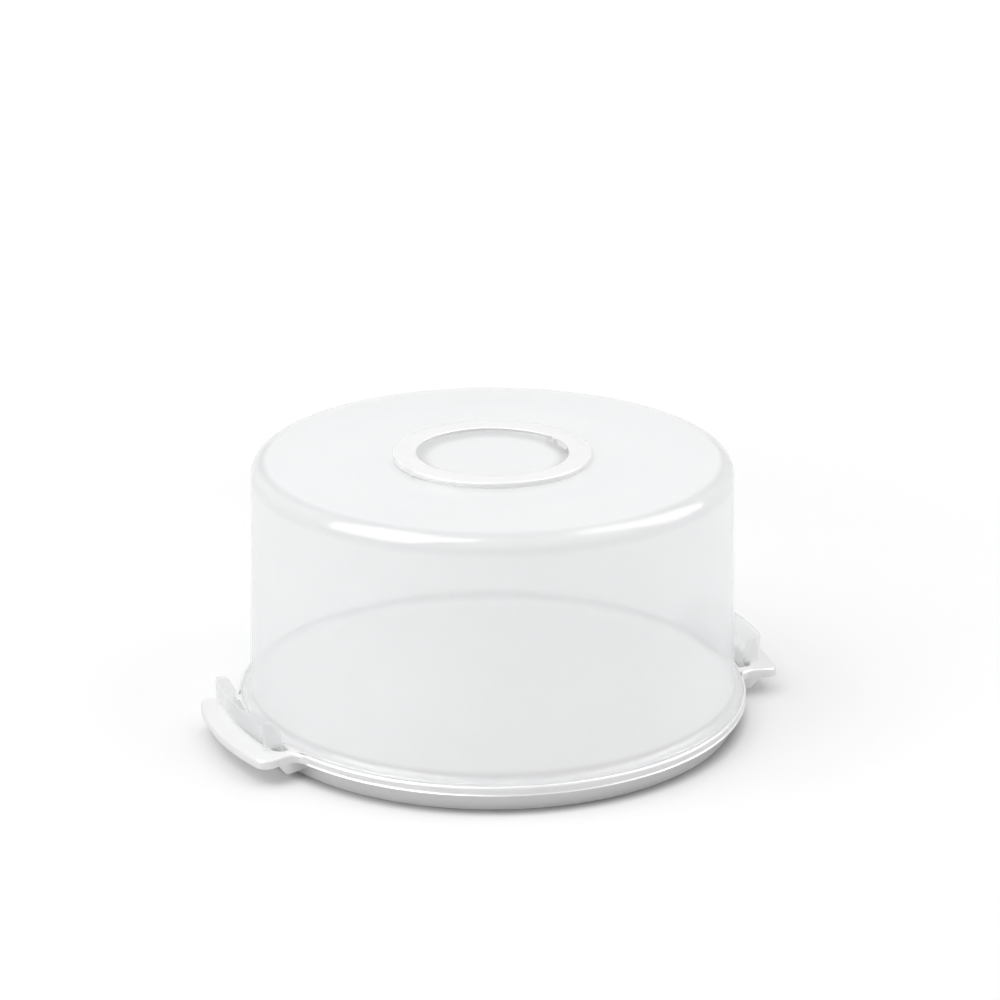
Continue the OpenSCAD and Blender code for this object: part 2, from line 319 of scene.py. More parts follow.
def grid_mesh(
    name: str,
    points: np.ndarray,
    material: bpy.types.Material,
    close_u: bool = False,
    close_v: bool = False,
) -> bpy.types.Object:
    """Makes a smooth quad surface from a grid of points.

    Args:
        name: Name of the piece.
        points: Array of shape (u, v, 3), in metres.
        material: Finish of the piece.
        close_u: Joins the last row of points to the first.
        close_v: Joins the last column of points to the first.

    Returns:
        The new object, at the origin, with its place in its mesh.
    """
    nu, nv, _ = points.shape
    rows = np.arange(nu if close_u else nu - 1)[:, None]
    cols = np.arange(nv if close_v else nv - 1)[None, :]
    r1, c1 = (rows + 1) % nu, (cols + 1) % nv
    quads = np.stack([rows * nv + cols, r1 * nv + cols, r1 * nv + c1, rows * nv + c1], axis=-1).reshape(-1, 4)
    mesh = bpy.data.meshes.new(name)
    mesh.vertices.add(nu * nv)
    mesh.vertices.foreach_set("co", points.reshape(-1).astype(np.float32))
    mesh.loops.add(quads.size)
    mesh.loops.foreach_set("vertex_index", quads.reshape(-1).astype(np.int32))
    mesh.polygons.add(len(quads))
    mesh.polygons.foreach_set("loop_start", (np.arange(len(quads)) * 4).astype(np.int32))
    mesh.polygons.foreach_set("use_smooth", np.ones(len(quads), dtype=bool))
    mesh.update(calc_edges=True)
    mesh.validate()
    piece = bpy.data.objects.new(name, mesh)
    bpy.context.scene.collection.objects.link(piece)
    mesh.materials.append(material)
    return piece


def weld(piece: bpy.types.Object, distance: float = 0.00001) -> None:
    """Merges the doubles of a mesh, closes its poles and seams, turns its faces outwards and marks its sharp edges.

    Args:
        piece: The object to clean.
        distance: Points nearer than this become one.
    """
    mesh = bmesh.new()
    mesh.from_mesh(piece.data)
    bmesh.ops.remove_doubles(mesh, verts=mesh.verts, dist=distance)
    bmesh.ops.dissolve_degenerate(mesh, edges=mesh.edges, dist=distance)
    bmesh.ops.recalc_face_normals(mesh, faces=mesh.faces)
    mesh.to_mesh(piece.data)
    mesh.free()
    piece.data.set_sharp_from_angle(angle=math.radians(SHARP_ANGLE))


def arc(cx: float, cz: float, radius: float, start: float, end: float, count: int) -> np.ndarray:
    """Points of an arc in the profile's plane: centre plus radius times cosine and sine of the angle in degrees."""
    t = np.radians(np.linspace(start, end, count))
    return np.stack([cx + radius * np.cos(t), cz + radius * np.sin(t)], axis=-1)


def profile(*parts: np.ndarray | tuple[float, float]) -> np.ndarray:
    """Joins points and arcs, in millimetres, into one profile in metres."""
    return np.concatenate([np.atleast_2d(np.asarray(part, dtype=float)) for part in parts]) * MM


def soften(points: np.ndarray, radius: float, steps: int = 4) -> np.ndarray:
    """Rounds the corners of an open polyline.

    Args:
        points: Corner points, shape (n, 2).
        radius: How far from a corner its rounding starts, at most a third of the shorter side.
        steps: Points on each rounding.

    Returns:
        The rounded polyline. Each corner becomes the curve (1-t)^2 a + 2t(1-t) b + t^2 c between two points a and c
        on its sides and the corner b itself.
    """
    t = np.linspace(0.0, 1.0, steps)[:, None]
    pieces = [points[:1]]
    for before, here, after in zip(points[:-2], points[1:-1], points[2:]):
        back, ahead = before - here, after - here
        reach_back = min(radius / np.linalg.norm(back), 0.34)
        reach_ahead = min(radius / np.linalg.norm(ahead), 0.34)
        a, c = here + back * reach_back, here + ahead * reach_ahead
        pieces.append((1 - t) ** 2 * a + 2 * t * (1 - t) * here + t**2 * c)
    pieces.append(points[-1:])
    return np.concatenate(pieces)


def spin(section: np.ndarray, angles: np.ndarray) -> np.ndarray:
    """Points x = r cos a, y = r sin a, z = height, for each angle a in radians and each point (r, height)."""
    a = angles[:, None]
    r, z = section[None, :, 0], section[None, :, 1]
    return np.stack([r * np.cos(a), r * np.sin(a), z + 0 * a], axis=-1)


def swept(x: np.ndarray, outline: np.ndarray) -> np.ndarray:
    """Outline of points (y, z) at each x, or one outline for each x."""
    ring = np.broadcast_to(outline, (len(x),) + outline.shape[-2:])
    return np.concatenate([np.broadcast_to(x[:, None, None], ring.shape[:2] + (1,)), ring], axis=-1)


def turned(grid: np.ndarray, degrees: float) -> np.ndarray:
    """The grid turned about the Z axis."""
    a = math.radians(degrees)
    x, y, z = grid[..., 0], grid[..., 1], grid[..., 2]
    return np.stack([x * math.cos(a) - y * math.sin(a), x * math.sin(a) + y * math.cos(a), z], axis=-1)


def lathe(name: str, section: np.ndarray, steps: int, material: bpy.types.Material) -> bpy.types.Object:
    """Turns a section round the Z axis.

    Args:
        name: Name of the piece.
        section: Radius and height of each point, shape (n, 2), in metres. A closed section ends where it starts.
        steps: Number of steps in a full turn.
        material: Finish of the piece.

    Returns:
        The turned surface.
    """
    points = spin(section, np.linspace(0.0, 2 * math.pi, steps, endpoint=False))
    piece = grid_mesh(name, points, material, close_u=True)
    weld(piece)
    return piece


def place(piece: bpy.types.Object, body: Body, slot: Slot, *nodes: str) -> None:
    """Declares where a piece belongs.

    Args:
        piece: The new piece.
        body: CAD body that carries it.
        slot: Material slot of the record. Not used.
        nodes: CAD nodes that it stands for.
    """
    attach(piece, body.value)
    if nodes:
        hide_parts(*nodes)
    LOG.info("%s rides on %s", piece.name, body.value)


def add_piece(
    name: str,
    points: np.ndarray,
    material: bpy.types.Material,
    body: Body,
    slot: Slot,
    *nodes: str,
    close_u: bool = False,
) -> None:
    """Makes, cleans and places a piece whose section, along v, is closed.

    Args:
        name: Name of the piece.
        points: Array of shape (u, v, 3), in metres.
        material: Finish of the piece.
        body: CAD body that carries it.
        slot: Material slot of the record.
        nodes: CAD nodes that it stands for.
        close_u: Joins the last section to the first.
    """
    piece = grid_mesh(name, points, material, close_u=close_u, close_v=True)
    weld(piece, FINE_WELD)
    place(piece, body, slot, *nodes)


def smoothstep(x: np.ndarray, low: float, high: float) -> np.ndarray:
    """Soft step from 0 at low to 1 at high: t^2 (3 - 2t) with t = (x - low) / (high - low), kept between 0 and 1."""
    t = np.clip((x - low) / (high - low), 0.0, 1.0)
    return t * t * (3 - 2 * t)


def normals_2d(path: np.ndarray, closed: bool) -> np.ndarray:
    """Outward normals of a plan path that runs anticlockwise.

    Args:
        path: Points of the path, shape (n, 2).
        closed: True if the path ends where it starts.

    Returns:
        Unit normals, the path's tangent (from central differences) turned by minus 90 degrees.
    """
    if closed:
        tangent = np.roll(path, -1, axis=0) - np.roll(path, 1, axis=0)
    else:
        tangent = np.gradient(path, axis=0)
    tangent /= np.linalg.norm(tangent, axis=1)[:, None]
    return np.stack([tangent[:, 1], -tangent[:, 0]], axis=-1)


def polar(radius: float | np.ndarray, degrees: np.ndarray) -> np.ndarray:
    """Plan points radius times (cos a, sin a)."""
    a = np.radians(degrees)
    return np.stack([radius * np.cos(a), radius * np.sin(a)], axis=-1)


def resample(path: np.ndarray, count: int) -> np.ndarray:
    """Spreads count points evenly along a polyline, by linear interpolation over its length."""
    length = np.concatenate([[0.0], np.cumsum(np.linalg.norm(np.diff(path, axis=0), axis=1))])
    where = np.linspace(0.0, length[-1], count)
    return np.stack([np.interp(where, length, path[:, k]) for k in range(path.shape[1])], axis=-1)


def half_turn(points: np.ndarray) -> np.ndarray:
    """The same points on the other side of the Z axis: (-x, -y, z)."""
    return points * np.array([-1.0, -1.0, 1.0])


def capped(points: np.ndarray) -> np.ndarray:
    """Closes both ends of a thin swept section.

    Args:
        points: Grid of shape (u, v, 3) whose v runs once round a thin section, out along one face and back along the
            other.

    Returns:
        The grid with a row added at each end, where point v and its partner v' = last - v meet half way.
    """
    first = (points[:1] + points[:1, ::-1]) / 2
    last = (points[-1:] + points[-1:, ::-1]) / 2
    return np.concatenate([first, points, last])


def capped_flat(points: np.ndarray) -> np.ndarray:
    """Closes both ends of a swept section with a fan to the middle of each end."""
    first = np.broadcast_to(points[0].mean(axis=0), points[:1].shape)
    last = np.broadcast_to(points[-1].mean(axis=0), points[-1:].shape)
    return np.concatenate([first, points, last])


# Sub-assemblies


@dataclass
class Tray:
    """White tray: a lathe-turned dish with foot, rim and groove, two slotted handles, gussets and ribs. Millimetres."""

    rim_r: float = 156.0
    rim_top: float = 17.1
    rim_under: float = 11.3
    foot_r: float = 149.2
    wall: float = 2.2
    lip: float = 2.5
    groove_z: float = 15.7
    groove_r: float = 145.5
    floor_z: float = 13.4
    floor_r: float = 142.5
    handle_r: float = 180.0
    corner_r: float = 7.0
    root_r: float = 9.0
    handle_angle: float = 17.5
    slot_r: float = 164.6
    slot_angle: float = 13.3
    slot_end_angle: float = 15.4
    edge_r: float = 1.9
    bar_top: float = 2.4
    bar_angle: float = 15.2
    slot_corner_r: float = 6.0
    tuck: float = 1.5
    gusset_angle: float = 17.25
    gusset_half: float = 0.9
    rib_depth: float = 6.0
    rib_top: float = 12.0
    turns: int = 480

    def section(self) -> np.ndarray:
        """Closed radial section: floor, groove, rim, skirt, foot and underside."""
        rim, top, low, foot, wall = self.rim_r, self.rim_top, self.rim_under, self.foot_r, self.wall
        groove, floor = self.groove_z, self.floor_z
        inner, lip_in, under = foot - wall, rim - self.lip, groove - wall
        return profile(
            (0.0, floor), (70.0, floor), arc(self.floor_r - 4.0, floor + 8.0, 8.0, 270, 302, 6),
            (self.groove_r - 0.3, groove - 0.12), (self.groove_r + 0.6, groove), (lip_in - 0.5, groove),
            (lip_in - 0.1, groove + 0.15), (lip_in, groove + 0.35), (lip_in + 0.2, groove + 0.55),
            (lip_in + 1.1, top - 0.2), arc(rim - 1.4, top - 1.4, 1.4, 82, 0, 9), (rim - 0.12, top - 2.0),
            (rim - 0.45, top - 2.8), (rim - 0.75, low + 1.7), (rim - 0.8, low + 1.1), (rim - 0.6, low + 0.75),
            (rim - 0.1, low + 0.5), (rim, low + 0.3), (rim - 0.1, low + 0.08), (rim - 0.4, low), (lip_in + 0.7, low),
            (lip_in + 0.35, low + 0.35), (lip_in + 0.3, under - 0.4), (lip_in - 0.2, under), (foot + 0.5, under),
            (foot + 0.1, under - 0.3), (foot, under - 0.8), (foot, 0.6), (foot - 0.2, 0.15), (foot - 0.6, 0.0),
            (inner + 0.6, 0.0), (inner + 0.2, 0.15), (inner, 0.6), (inner, floor - wall - 0.8),
            (inner - 0.3, floor - wall - 0.2), (inner - 0.9, floor - wall), (80.0, floor - wall), (0.0, floor - wall),
        )

    def handle_loops(self) -> tuple[np.ndarray, np.ndarray]:
        """Outer edge of the handle and edge of its slot, matched point by point, anticlockwise in plan.

        Returns:
            Two closed loops in millimetres. Each has the same number of points on the grip bar, on both ends and on the
            rim's side.
        """
        c, r, out_a, back_r = self.handle_angle, self.corner_r, self.bar_angle, self.rim_r - self.tuck
        corner = polar(self.handle_r - r, np.array([out_a]))
        corner_arc = corner + polar(r, np.linspace(out_a, c + 90.0, 12))
        turn = c + math.degrees(math.asin(self.root_r / (self.rim_r + self.root_r)))
        root_centre = polar(self.rim_r + self.root_r, np.array([turn]))
        root = root_centre + polar(self.root_r, np.linspace(c + 270.0, turn + 180.0, 14))
        tuck = polar(back_r, np.array([turn + 1.6]))
        end_up = resample(np.concatenate([corner_arc, root, tuck]), 44)
        bar = polar(self.handle_r, np.linspace(-out_a, out_a, 60))
        back = polar(back_r, np.linspace(turn + 1.6, -turn - 1.6, 60))
        outer = np.concatenate([bar[1:-1], end_up[:-1], back[:-1], (end_up * MIRROR_Y)[::-1][:-1]])
        s_r = self.slot_corner_r
        s_c = polar(self.slot_r - s_r, np.array([self.slot_angle]))
        s_arc = s_c + polar(s_r, np.linspace(self.slot_angle + 8.0, self.slot_angle + 96.0, 14))
        s_tip = polar(self.rim_r + 0.05, np.array([self.slot_end_angle]))
        s_end = resample(np.concatenate([s_arc, s_tip]), 44)
        s_bar = polar(self.slot_r, np.linspace(-self.slot_angle, self.slot_angle, 60))
        s_back = polar(self.rim_r, np.linspace(self.slot_end_angle, -self.slot_end_angle, 60))
        slot = np.concatenate([s_bar[1:-1], s_end[:-1], s_back[:-1], (s_end * MIRROR_Y)[::-1][:-1]])
        return outer, slot

    def handle_grid(self) -> np.ndarray:
        """Skin of one handle, swept round its slot.

        Returns:
            Grid of shape (loop, section, 3) in metres. The section climbs the slot's wall, crosses the top, rolls over
            the outer edge by (1 - cos a, sin a) times the edge radius and comes back under, hollow below the grip bar.
        """
        outer, slot = self.handle_loops()
        n_out, n_in = normals_2d(outer, True), -normals_2d(slot, True)
        width = np.linalg.norm(outer - slot, axis=1)
        radius = np.linalg.norm(outer, axis=1)
        proud = smoothstep(radius, self.rim_r - 1.0, self.rim_r + 1.0)
        bar = smoothstep(radius, self.rim_r + 14.0, self.rim_r + 21.0)
        rows: list[np.ndarray] = []

        def level(base: np.ndarray, normal: np.ndarray, inset: np.ndarray | float, z: np.ndarray | float) -> None:
            """Adds one line of the section: base minus inset times its normal, at height z."""
            flat = base - normal * np.broadcast_to(inset, width.shape)[:, None]
            rows.append(np.concatenate([flat, np.broadcast_to(z, width.shape)[:, None]], axis=1))

        top, low = self.rim_top, self.rim_under
        level(slot, n_in, 0.35, low)
        level(slot, n_in, 0.0, low + 0.35)
        level(slot, n_in, 0.0, top - 0.9)
        for a in (30.0, 60.0, 90.0):
            t = math.radians(a)
            level(slot, n_in, 0.9 * (1 - math.cos(t)), top - 0.9 * (1 - math.sin(t)))
        for f in (0.2, 0.4, 0.6, 0.8):
            flat_in = slot - n_in * 0.9
            flat_out = outer - n_out * (self.edge_r * proud)[:, None]
            mid = flat_in + (flat_out - flat_in) * f
            rows.append(np.concatenate([mid, np.full((len(mid), 1), top)], axis=1))
        for a in (90.0, 72.0, 54.0, 36.0, 18.0, 0.0):
            t = math.radians(a)
            level(outer, n_out, self.edge_r * proud * (1 - math.cos(t)), top - self.edge_r * proud * (1 - math.sin(t)))
        level(outer, n_out, 0.0, low + 0.5)
        level(outer, n_out, 0.15 * proud, low + 0.15)
        level(outer, n_out, 0.5 * proud, low)
        roof = low + (top - self.bar_top - low) * bar
        side = 2.2 * bar + 0.6
        level(outer, n_out, side, low)
        level(outer, n_out, side + 0.2, roof - 0.3 * bar)
        level(outer, n_out, side + 0.6, roof)
        level(slot, n_in, side + 0.6, roof)
        level(slot, n_in, side + 0.2, roof - 0.3 * bar)
        level(slot, n_in, side, low)
        return np.stack(rows, axis=1) * MM

    def gusset_grid(self, degrees: float) -> np.ndarray:
        """Upright web under a handle's root.

        Args:
            degrees: Where it stands round the rim.

        Returns:
            Grid of a plate 1.8 mm thick with a rounded lower edge, from the foot to the grip bar.
        """
        path = np.array([
            [148.9, 4.4], [155.0, 4.4], [162.2, 4.4], [163.4, 5.2], [166.0, 8.2], [168.9, 11.6], [169.2, 14.6]])
        path = resample(soften(path, 1.0), 30)
        half = self.gusset_half
        inward = np.stack([-np.gradient(path[:, 1]), np.gradient(path[:, 0])], axis=-1)
        inward /= np.linalg.norm(inward, axis=1)[:, None]
        top = np.stack([path[:, 0], np.full(len(path), 14.8)], axis=-1)
        lines = []
        for inset, share in ((None, -1), (0.35, -1), (0.1, -0.72), (0.0, 0), (0.1, 0.72), (0.35, 1), (None, 1)):
            flat = top if inset is None else path + inward * inset
            lines.append(np.stack([flat[:, 0], np.full(len(path), half * share), flat[:, 1]], axis=-1))
        return turned(np.stack(lines, axis=1), degrees) * MM

    def rib_low(self) -> float:
        """Height of the ribs' lower edge."""
        return self.floor_z - self.wall - self.rib_depth

    def rib_grid(self, degrees: float) -> np.ndarray:
        """One radial rib under the floor: a tapered strip from the hub to the skirt, rounded along its lower edge."""
        low, top = self.rib_low(), self.rib_top
        section = np.array([
            [-0.95, top], [-0.75, low + 0.5], [-0.5, low + 0.08], [0.0, low],
            [0.5, low + 0.08], [0.75, low + 0.5], [0.95, top]])
        return turned(swept(np.linspace(20.8, 147.6, 12), section), degrees) * MM

    def build(self, finish: bpy.types.Material) -> None:
        """Makes the tray's pieces."""
        dish = lathe("tray_dish", self.section(), self.turns, finish)
        place(dish, Body.TRAY, Slot.TRAY, "base_tray")
        grid = self.handle_grid()
        for name, points in (("handle_right", grid), ("handle_left", half_turn(grid))):
            add_piece(name, points, finish, Body.TRAY, Slot.TRAY, close_u=True)
        for side, turn in (("right", 0.0), ("left", 180.0)):
            for name, a in (("front", -self.gusset_angle), ("rear", self.gusset_angle)):
                add_piece(f"gusset_{side}_{name}", capped(self.gusset_grid(turn + a)), finish, Body.TRAY, Slot.TRAY)
        for i in range(12):
            add_piece(f"rib_{i:02d}", capped(self.rib_grid((i + 0.5) * 30.0)), finish, Body.TRAY, Slot.TRAY)
        low, top = self.rib_low(), self.rib_top
        for name, r in (("hub", 20.0), ("ring", 85.0)):
            section = profile(
                (r - 0.15, top), (r, low + 0.5), (r + 0.3, low + 0.08), (r + 0.8, low),
                (r + 1.3, low + 0.08), (r + 1.6, low + 0.5), (r + 1.75, top), (r - 0.15, top),
            )
            rib = lathe(f"rib_{name}", section, 240, finish)
            weld(rib, FINE_WELD)
            place(rib, Body.TRAY, Slot.TRAY)


@dataclass
class Dome:
    """Frosted hood: a lathe-turned wall with a shallow top that makes room for the ring handle. Millimetres."""

    top: float = 165.4
    shoulder: float = 145.3
    skirt: float = 148.8
    shoulder_r: float = 10.0
    wall: float = 2.0
    flange_r: float = 153.2
    flange_z: float = 16.0
    flange_top: float = 18.6
    flare_r: float = 3.4
    dish_z: float = 164.1
    dish_r: float = 62.5
    flat_r: float = 100.0
    recess_r: float = 37.5
    recess_z: float = 163.9
    hump_in: float = 48.6
    hump_out: float = 54.0
    hump_top: float = 165.5
    pocket_z: float = 163.95
    turns: int = 640

    def outside(self) -> np.ndarray:
        """Outer profile from the middle of the top to the flange's lower edge."""
        t = np.linspace(0.0, 1.0, 9)
        ease = (1 - np.cos(math.pi * t)) / 2
        rise_r = self.recess_r + (self.hump_in - self.recess_r) * t
        rise = np.stack([rise_r, self.recess_z + (self.hump_top - self.recess_z) * t**2.2], -1)
        dish_r = self.dish_r + (self.flat_r - self.dish_r) * t
        dish = np.stack([dish_r, self.dish_z + (self.top - self.dish_z) * ease], -1)
        return profile(
            (0.0, self.recess_z), (20.0, self.recess_z), rise,
            (50.6, self.hump_top), (self.hump_out - 0.4, self.hump_top), (self.hump_out + 0.3, self.hump_top - 0.2),
            (self.hump_out + 1.7, self.dish_z + 0.2), (self.hump_out + 2.4, self.dish_z), dish,
            (120.0, self.top),
            arc(self.shoulder - self.shoulder_r, self.top - self.shoulder_r, self.shoulder_r, 90, 1.5, 24),
            (146.5, 110.0), (self.skirt - 0.5, 45.0),
            arc(self.skirt + self.flare_r, self.flange_top + self.flare_r, self.flare_r, 180, 270, 10),
            (self.flange_r + 0.6, self.flange_top - 0.02), (self.flange_r + 0.8, self.flange_top - 0.2),
            (self.flange_r + 1.2, self.flange_top - 1.3), (self.flange_r + 1.1, self.flange_top - 1.6),
            (self.flange_r + 0.1, self.flange_z + 0.6), (self.flange_r, self.flange_z + 0.2),
            (self.flange_r - 0.2, self.flange_z),
        )

    def inside(self) -> np.ndarray:
        """Inner profile from the flange's lower edge up to the middle of the top."""
        w = self.wall
        return profile(
            (self.skirt - w + 0.2, self.flange_z), (self.skirt - w, self.flange_z + 0.2),
            (self.skirt - w - 1.0, 60.0),
            arc(self.shoulder - self.shoulder_r, self.top - self.shoulder_r, self.shoulder_r - w, 1.5, 90, 20),
            (self.flat_r, self.top - w), (self.dish_r, self.dish_z - w), (self.hump_out + 2.6, self.dish_z - w),
            (self.hump_out + 0.6, self.hump_top - w), (self.hump_in + 0.4, self.hump_top - w),
            (self.recess_r, self.recess_z - w), (0.0, self.recess_z - w),
        )

    def skin(self) -> np.ndarray:
        """Hood's closed skin as a grid over the turn and the profile.

        Returns:
            Points (r cos a, r sin a, z). The outer profile sinks to the floor of the blocks' pockets where |x| is
            from 42.8 to 58.8 mm and |y| is under 14.6 mm.
        """
        out, inner = self.outside(), self.inside()
        section = np.concatenate([out, inner])
        grid = spin(section, np.linspace(0.0, 2 * math.pi, self.turns, endpoint=False))
        x, y, z = np.abs(grid[..., 0]), np.abs(grid[..., 1]), grid[..., 2]
        beside, past = smoothstep(y, 0.0142, 0.0150), smoothstep(x, 0.0584, 0.0592)
        pocket = smoothstep(x, 0.0424, 0.0432) * (1 - beside) * (1 - past)
        outer = np.arange(section.shape[0])[None, :] < len(out)
        floor = self.pocket_z * MM
        lowered = z - np.maximum(z - floor, 0.0) * pocket
        grid[..., 2] = np.where(outer & (section[None, :, 0] < 0.062), lowered, z)
        return grid

    def pad_grid(self, side: float) -> np.ndarray:
        """Pad moulded under a hinge block: a rounded rectangle that tapers down from the top plate."""
        half_x, half_y, r = 9.4, 13.4, 2.0
        turns = ((1, 1, 0), (-1, 1, 90), (-1, -1, 180), (1, -1, 270))
        corners = [(BLOCK_X + sx * (half_x - r), sy * (half_y - r), a) for sx, sy, a in turns]
        loop = np.concatenate([np.array([x, y]) + polar(r, np.linspace(a, a + 90.0, 7)) for x, y, a in corners])
        normal, centre = normals_2d(loop, True), np.broadcast_to([[BLOCK_X, 0.0]], loop.shape)
        walls = [(loop - normal * inset, z) for inset, z in ((-0.3, 162.6), (0.0, 162.0), (0.2, 161.1), (0.5, 160.8))]
        levels = [(centre, 162.6), *walls, (centre, 160.8)]
        rows = [np.concatenate([flat, np.full((len(loop), 1), z)], axis=1) for flat, z in levels]
        return np.stack(rows, axis=1) * np.array([side, side, 1.0]) * MM

    def build(self, finish: bpy.types.Material) -> None:
        """Makes the hood and the pads under its hinge blocks."""
        hood = grid_mesh("dome_hood", self.skin(), finish, close_u=True)
        weld(hood)
        place(hood, Body.DOME, Slot.DOME, "dome_cover")
        for name, side in (("pad_right", 1.0), ("pad_left", -1.0)):
            pad = grid_mesh(name, self.pad_grid(side), finish, close_u=True)
            weld(pad)
            place(pad, Body.DOME, Slot.DOME)


@dataclass
class LiftingTab:
    """Scoop-shaped tab at the dome's side, with slits beside its root and a leg through the handle's slot."""

    floor_z: float = 17.6
    top_z: float = 35.5
    lip_r: float = 171.5
    half_w: float = 39.8
    corner_r: float = 2.5
    thick: float = 1.8
    lean: float = 1.3
    curl: float = 7.6
    end_x: float = 154.4
    slit_r: float = 156.5
    root_r: float = 150.4
    leg_r: float = 158.4
    leg_t: float = 1.6
    leg_end_z: float = 7.4
    leg_top_z: float = 19.8
    leg_angle: float = 14.3

    def plan(self) -> np.ndarray:
        """Plan of the lip, anticlockwise: end wall, corner, arc along the rim, corner, end wall. Millimetres."""
        r, h, c = self.lip_r, self.half_w, self.corner_r
        a = math.degrees(math.asin((h - c) / (r - c)))
        centre = polar(r - c, np.array([a]))
        corner = centre + polar(c, np.linspace(a, 90.0, 14))
        wall = np.stack([np.linspace(corner[-1, 0], self.end_x, 12)[1:], np.full(11, h)], axis=-1)
        upper = np.concatenate([corner, wall])
        bar = polar(r, np.linspace(-a, a, 60))[1:-1]
        lower = (upper * MIRROR_Y)[::-1]
        return np.concatenate([lower, bar, upper])

    def scoop_grid(self) -> np.ndarray:
        """Skin of the scoop.

        Returns:
            Grid over the plan path and a closed section. The wall leans out by lean times its height share, curls in
            below by curl (1 - sin a, 1 - cos a), and its lip falls along the end walls as a function of x. On the end
            walls lean and curl shrink to a fifth.
        """
        path = self.plan()
        normal = normals_2d(path, False)
        x = path[:, 0]
        fall_x = np.array([154.0, 155.5, 157.2, 158.6, 160.0, 163.0, 172.0])
        fall_z = np.array([24.0, 27.5, 31.5, 33.8, 34.6, 35.1, self.top_z])
        on_end = np.abs(path[:, 1]) > self.half_w - self.corner_r
        height = np.where(on_end, np.interp(x, fall_x, fall_z), self.top_z)
        t = self.thick
        bend = 1 - 0.8 * smoothstep(np.abs(path[:, 1]), self.half_w - 2 * self.corner_r, self.half_w)
        rows: list[np.ndarray] = []

        def level(inset: np.ndarray | float, z: np.ndarray | float) -> None:
            """Adds one line of the section: the path moved in by inset, at height z."""
            flat = path - normal * np.broadcast_to(inset, x.shape)[:, None]
            rows.append(np.concatenate([flat, np.broadcast_to(z, x.shape)[:, None]], axis=1))

        def wall(offset: float, share: float) -> None:
            """Adds one line on the upright part, at a share of the way from the curl's end to the lip."""
            start = self.floor_z + self.curl
            level(self.lean * (1 - share) * bend + offset, start + (height - t / 2 - start) * share)

        low_y = np.clip(path[:, 1] - normal[:, 1] * (self.lean + self.curl) * bend, -36.5, 36.5)
        root = 1 - smoothstep(np.abs(low_y), 14.5, 16.5)
        spine_r = self.slit_r + (self.root_r - self.slit_r) * root
        spine = np.stack([np.sqrt(spine_r**2 - low_y**2), low_y], axis=-1)
        rows.append(np.concatenate([spine, (self.floor_z - 1.5 * root)[:, None]], axis=1))
        for a in np.linspace(0.0, 90.0, 8):
            s, c = math.sin(math.radians(a)), math.cos(math.radians(a))
            level((self.lean + self.curl * (1 - s)) * bend, self.floor_z + self.curl * (1 - c))
        for share in (0.2, 0.4, 0.6, 0.8, 1.0):
            wall(0.0, share)
        for a in (30.0, 60.0, 90.0, 120.0, 150.0):
            s, c = math.sin(math.radians(a)), math.cos(math.radians(a))
            level(t / 2 * (1 - c), height - t / 2 * (1 - s))
        for share in (1.0, 0.8, 0.6, 0.4, 0.2):
            wall(t, share)
        for a in np.linspace(90.0, 0.0, 8):
            s, c = math.sin(math.radians(a)), math.cos(math.radians(a))
            inner = self.curl - t
            level((self.lean + inner * (1 - s)) * bend + t, self.floor_z + t + inner * (1 - c))
        rows.append(np.concatenate([spine, np.full((len(x), 1), self.floor_z + t)], axis=1))
        return np.stack(rows, axis=1) * MM

    def leg_grid(self) -> np.ndarray:
        """Leg through the slot: a thin curved plate with a rounded foot and a snap bead along its inner face."""
        r, t, low, top = self.leg_r, self.leg_t, self.leg_end_z, self.leg_top_z
        section = np.array([
            [r, top], [r, low + 2.8], [r - 0.2, low + 2.4], [r - 1.1, low + 1.6], [r - 1.4, low + 1.1],
            [r - 1.1, low + 0.5], [r - 0.4, low], [r + t - 0.6, low], [r + t - 0.15, low + 0.2], [r + t, low + 0.7],
            [r + t, low + 2.8], [r + t, top]])
        return spin(section, np.radians(np.linspace(-self.leg_angle, self.leg_angle, 48))) * MM

    def build(self, finish: bpy.types.Material) -> None:
        """Makes both tabs."""
        scoop, leg = capped(self.scoop_grid()), capped(self.leg_grid())
        for side in ("right", "left"):
            for name, grid in (("tab", scoop), ("tab_leg", leg)):
                points = grid if side == "right" else half_turn(grid)
                add_piece(f"{name}_{side}", points, finish, Body.DOME, Slot.DOME)


